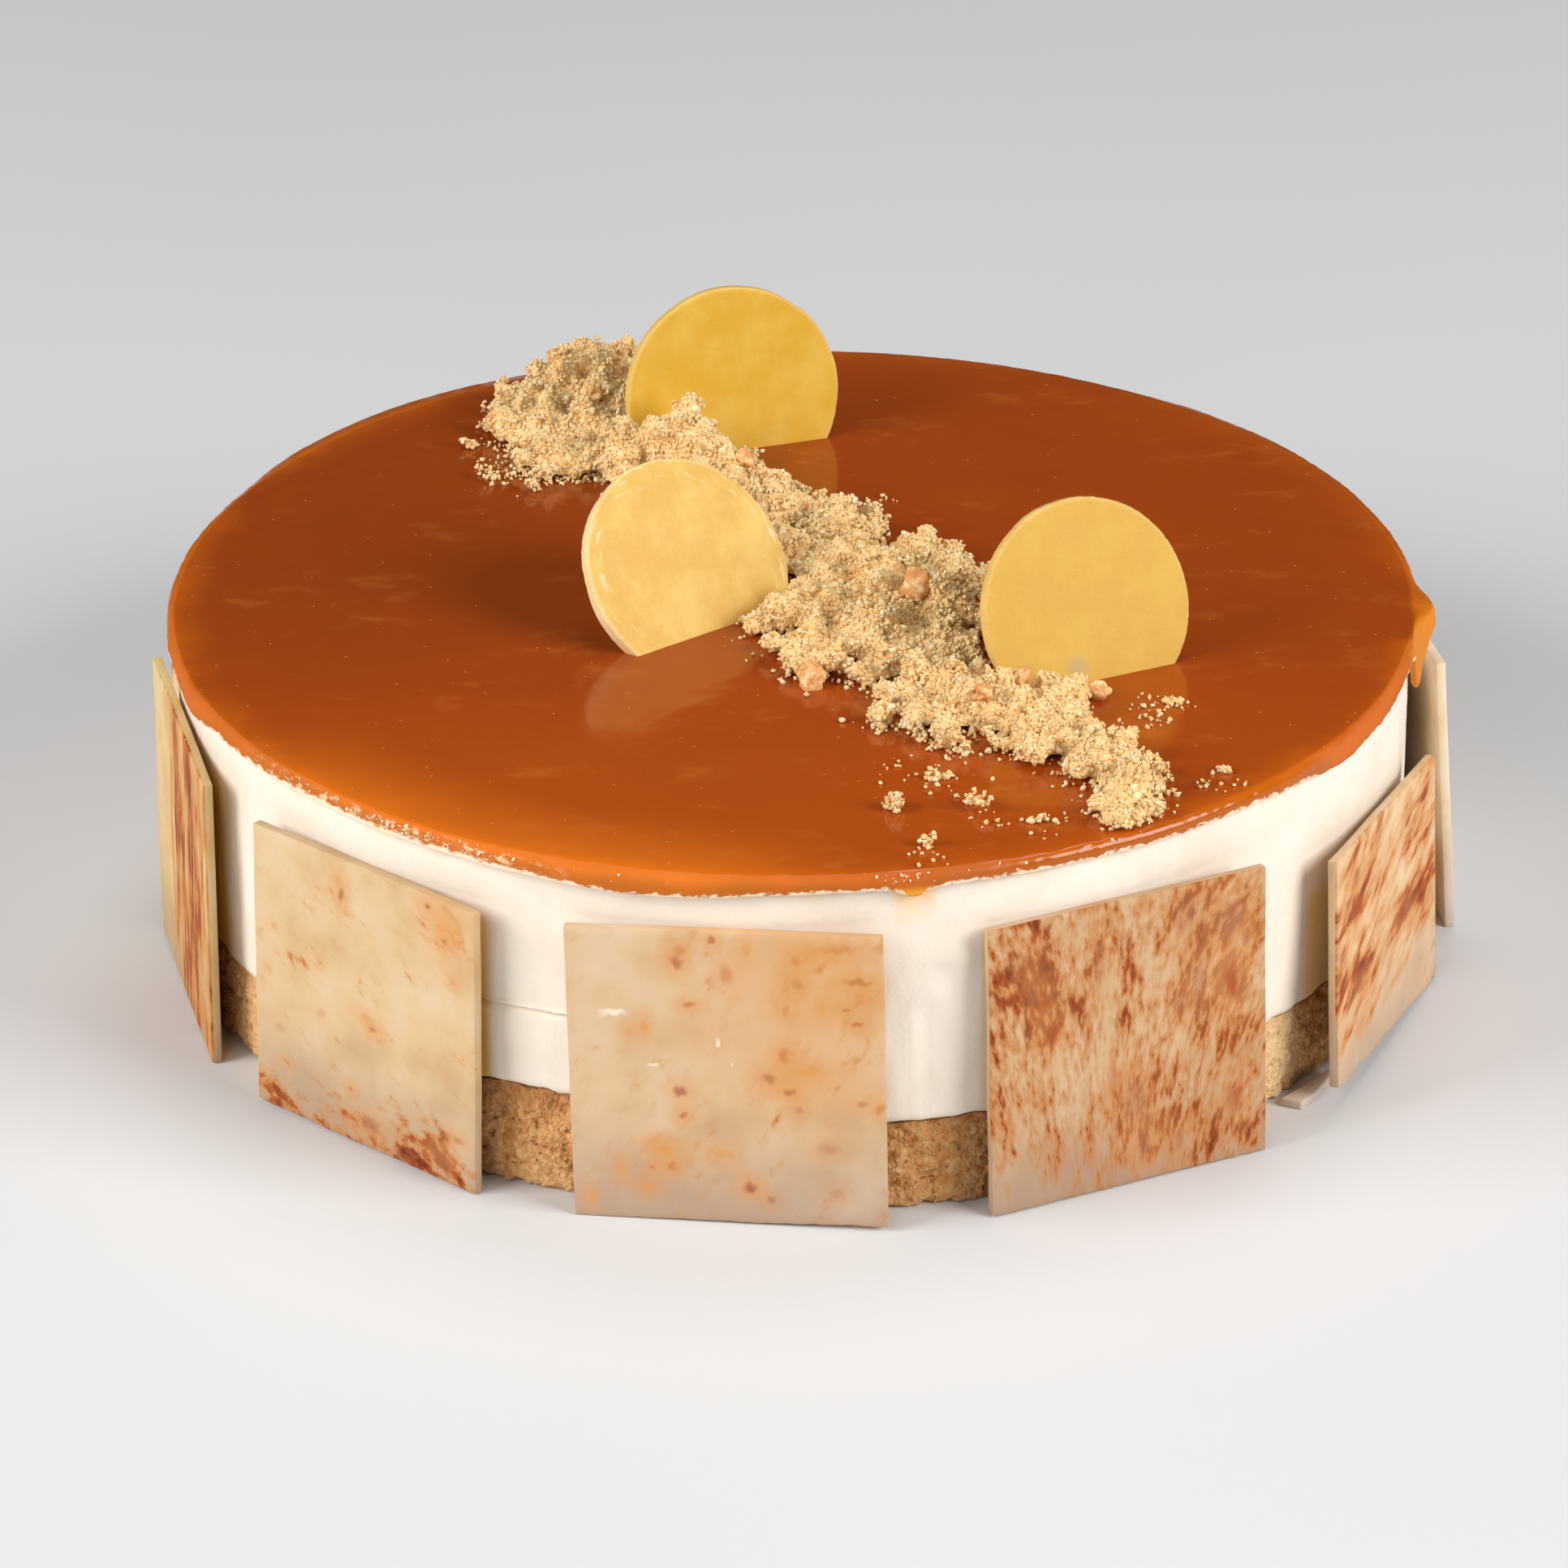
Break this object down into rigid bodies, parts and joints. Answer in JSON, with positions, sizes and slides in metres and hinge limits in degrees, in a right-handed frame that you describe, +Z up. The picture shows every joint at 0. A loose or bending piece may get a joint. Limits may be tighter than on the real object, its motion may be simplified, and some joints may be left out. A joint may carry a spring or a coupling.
{
  "type": "caramel cheesecake",
  "caption": "Round caramel cheesecake with a biscuit base, upright white chocolate squares at its side, yellow chocolate discs and a biscuit crumble trail on top.",
  "frame": {"origin": "middle of the biscuit base's flat underside, on the cake's upright axis", "axes": "+Z up along the cake's axis, -Y towards the front seen in the picture, +X to the right of it"},
  "size_m": [0.2161, 0.2128, 0.0874],
  "materials": {
    "biscuit": "matte",
    "cream": "satin",
    "caramel": "gloss",
    "crumble": "matte",
    "white_chocolate": "satin",
    "yellow_chocolate": "matte"
  },
  "bodies": {
    "root": {"biscuit_base": "biscuit", "cream_filling": "cream", "caramel_glaze": "caramel", "biscuit_crumble": "crumble", "chocolate_disc_01": "yellow_chocolate", "chocolate_disc_02": "yellow_chocolate", "chocolate_disc_03": "yellow_chocolate", "chocolate_square_01": "white_chocolate", "chocolate_square_02": "white_chocolate", "chocolate_square_03": "white_chocolate", "chocolate_square_04": "white_chocolate", "chocolate_square_05": "white_chocolate", "chocolate_square_06": "white_chocolate", "chocolate_square_07": "white_chocolate", "chocolate_square_08": "white_chocolate", "chocolate_square_09": "white_chocolate", "chocolate_square_10": "white_chocolate", "chocolate_chip": "white_chocolate"}
  },
  "joints": []
}
